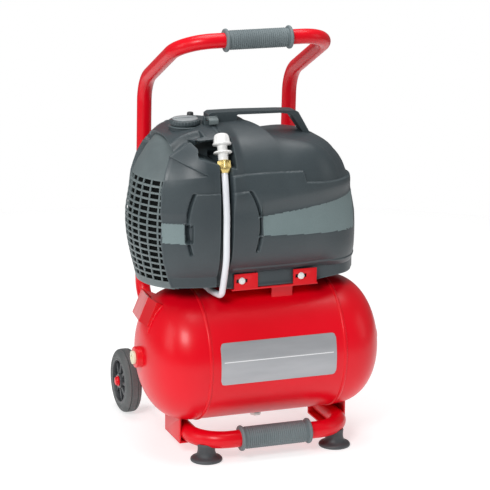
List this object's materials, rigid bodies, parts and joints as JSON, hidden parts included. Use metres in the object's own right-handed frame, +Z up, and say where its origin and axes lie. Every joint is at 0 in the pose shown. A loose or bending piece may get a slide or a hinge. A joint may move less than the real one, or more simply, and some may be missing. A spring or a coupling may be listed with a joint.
{
  "type": "portable rotary vane vacuum unit",
  "caption": "Portable vacuum unit: shrouded rotary vane pump and motor on a horizontal vacuum tank, with wheels, rubber feet and a bent tube handle.",
  "frame": {"origin": "on the ground under the middle of the bounding box", "axes": "+X along the tank to the operator's right, +Y to the rear where the wheels are, +Z up"},
  "size_m": [0.485, 0.4248, 0.7895],
  "materials": {
    "red_paint": "glossy powder coat",
    "cream_plastic": "satin",
    "zinc": "zinc plated",
    "label_plate": "satin",
    "tyre_rubber": "matte",
    "rim_plastic": "satin",
    "grip_rubber": "matte",
    "foot_rubber": "satin",
    "white_plastic": "satin",
    "shroud_plastic": "fine texture",
    "knob_plastic": "satin",
    "black_plastic": "satin",
    "brass": "machined",
    "tube_white": "smooth",
    "steel": "ground",
    "copper": "enamelled wire",
    "cast_iron": "machined",
    "vane_carbon": "carbon",
    "motor_paint": "satin",
    "capacitor_can": "drawn can"
  },
  "bodies": {
    "frame": {"tank_shell": "red_paint", "tank_head_left": "red_paint", "tank_head_right": "red_paint", "tank_boss_left": "red_paint", "tank_boss_right": "red_paint", "port_plug": "cream_plastic", "drain_plug": "zinc", "nameplate": "label_plate", "axle_bracket_left": "red_paint", "axle_bracket_right": "red_paint", "front_bracket_left": "red_paint", "front_bracket_right": "red_paint", "handle_bracket_left": "red_paint", "handle_bracket_right": "red_paint", "axle": "zinc", "axle_caps": "zinc", "front_tube": "red_paint", "front_grip": "grip_rubber", "foot_left": "foot_rubber", "foot_right": "foot_rubber", "foot_screws": "zinc", "handle_tube": "red_paint", "handle_grip": "grip_rubber", "base_plate": "red_paint", "shroud_studs": "white_plastic", "cable_gland": "black_plastic", "shroud_left": "shroud_plastic", "shroud_right": "shroud_plastic", "intake_grille": "shroud_plastic", "carry_handle": "shroud_plastic", "switch_bezel": "shroud_plastic", "elbow_fitting": "white_plastic", "tube_nut": "brass", "vacuum_tube": "tube_white", "tank_fitting": "brass", "inlet_pipe": "steel", "motor_housing": "motor_paint", "motor_stator": "steel", "motor_windings": "copper", "bearings": "steel", "pump_cylinder": "cast_iron", "pump_end_plates": "cast_iron", "silencer": "black_plastic", "start_capacitor": "capacitor_can", "motor_cradle": "motor_paint", "rubber_mounts": "foot_rubber", "mount_bolts": "zinc"},
    "wheel_left": {"tyre_left": "tyre_rubber", "rim_left": "rim_plastic"},
    "wheel_right": {"tyre_right": "tyre_rubber", "rim_right": "rim_plastic"},
    "rotor": {"shaft": "steel", "motor_rotor": "steel", "cooling_fan": "black_plastic", "pump_rotor": "cast_iron", "pump_vanes": "vane_carbon"},
    "switch": {"switch_knob": "knob_plastic"},
    "reset": {"reset_button": "black_plastic"},
    "catch": {"shroud_catch": "shroud_plastic"}
  },
  "joints": [
    {"name": "wheel_left_spin", "type": "hinge", "parent": "frame", "child": "wheel_left", "pos_m": [-0.1843, 0.1499, 0.0625], "axis": [1, 0, 0], "continuous": true},
    {"name": "wheel_right_spin", "type": "hinge", "parent": "frame", "child": "wheel_right", "pos_m": [0.1843, 0.1499, 0.0625], "axis": [1, 0, 0], "continuous": true},
    {"name": "shaft_spin", "type": "hinge", "parent": "frame", "child": "rotor", "pos_m": [-0.05, -0.065, 0.44], "axis": [1, 0, 0], "continuous": true},
    {"name": "switch_turn", "type": "hinge", "parent": "frame", "child": "switch", "pos_m": [-0.135, -0.067, 0.618], "axis": [0, 0, -1], "range_deg": [0, 90]},
    {"name": "reset_press", "type": "slide", "parent": "frame", "child": "reset", "axis": [0, 0, -1], "range_m": [0, 0.003], "stiffness_N_per_m": 400, "springref_m": -0.001},
    {"name": "catch_lift", "type": "hinge", "parent": "frame", "child": "catch", "pos_m": [-0.093, -0.087, 0.627], "axis": [-1, 0, 0], "range_deg": [0, 75]}
  ]
}
